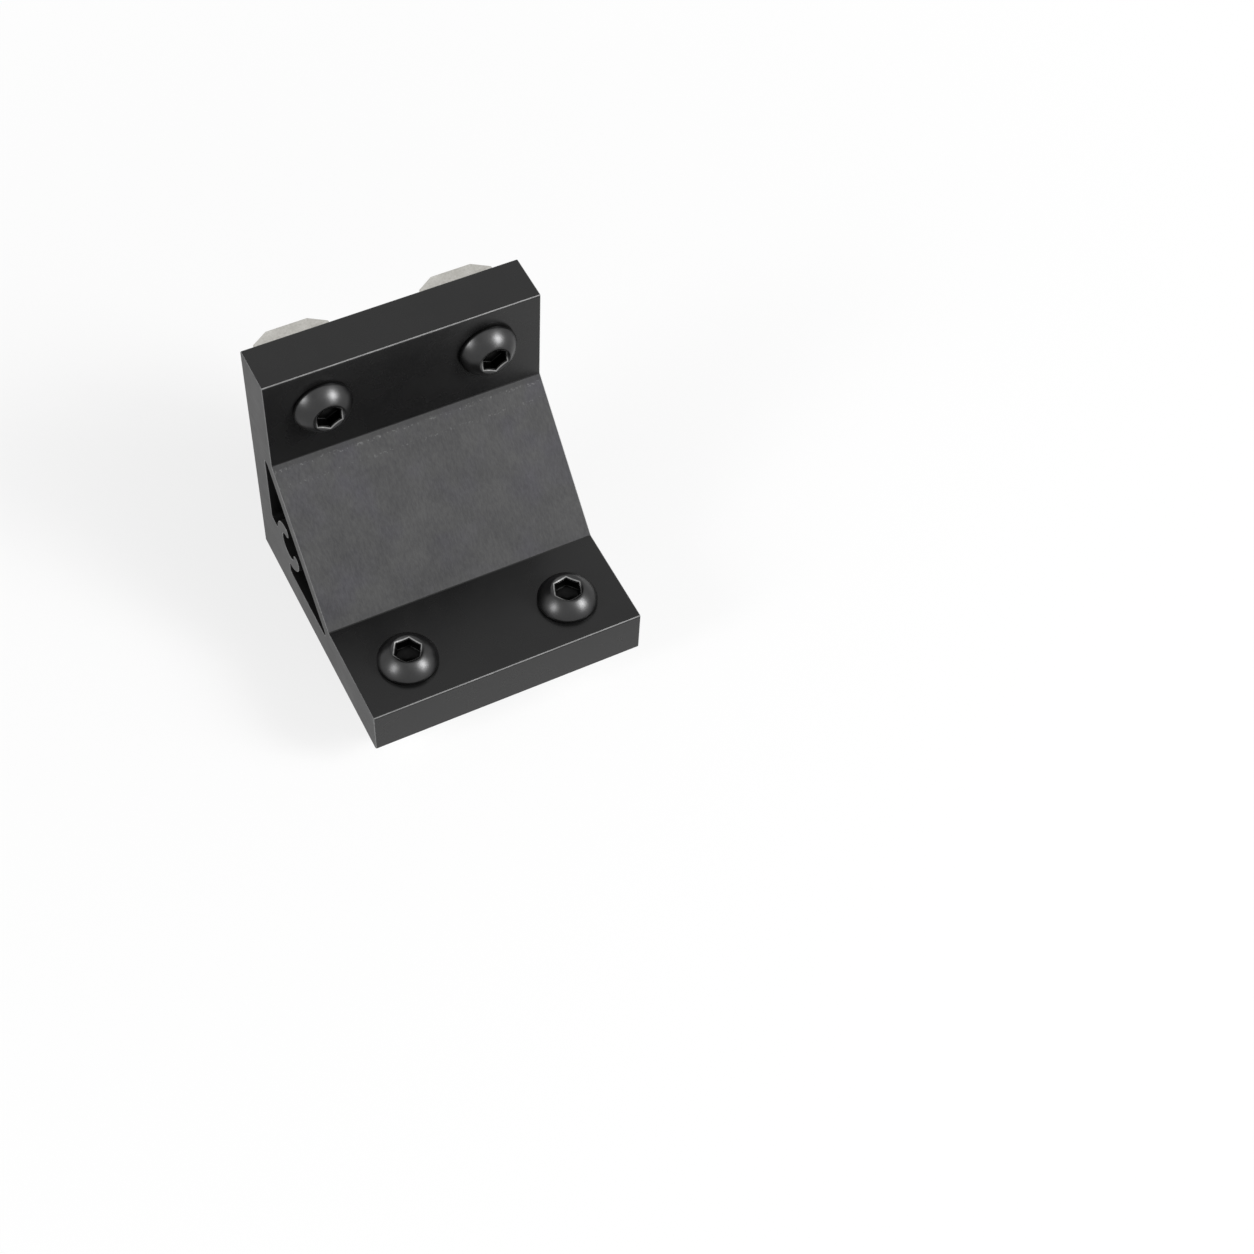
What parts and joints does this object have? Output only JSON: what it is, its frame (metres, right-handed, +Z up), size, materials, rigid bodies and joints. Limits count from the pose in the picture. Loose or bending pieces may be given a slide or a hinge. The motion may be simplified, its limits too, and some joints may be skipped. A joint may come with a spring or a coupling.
{
  "type": "profile bracket",
  "caption": "Right-angle bracket for slotted profile: a hollow triangular extrusion with a screw channel, button-head screws and slot nuts.",
  "frame": {"origin": "middle of the corner line where the foot's and the upright's mounting faces meet", "axes": "+X along the extrusion, +Y out of the upright's mounting face, +Z up along the upright; the foot's mounting face points to -Z"},
  "size_m": [0.05, 0.0567, 0.0567],
  "materials": {
    "black_anodised_aluminium": "satin black anodised extrusion, sawn at both ends",
    "black_steel": "satin black oxide",
    "zinc_plated_steel": "matt zinc plated"
  },
  "bodies": {
    "root": {"bracket_body": "black_anodised_aluminium", "foot_screw_left": "black_steel", "foot_screw_right": "black_steel", "upright_screw_left": "black_steel", "upright_screw_right": "black_steel", "foot_nut_left": "zinc_plated_steel", "foot_nut_right": "zinc_plated_steel", "upright_nut_left": "zinc_plated_steel", "upright_nut_right": "zinc_plated_steel"}
  },
  "joints": []
}
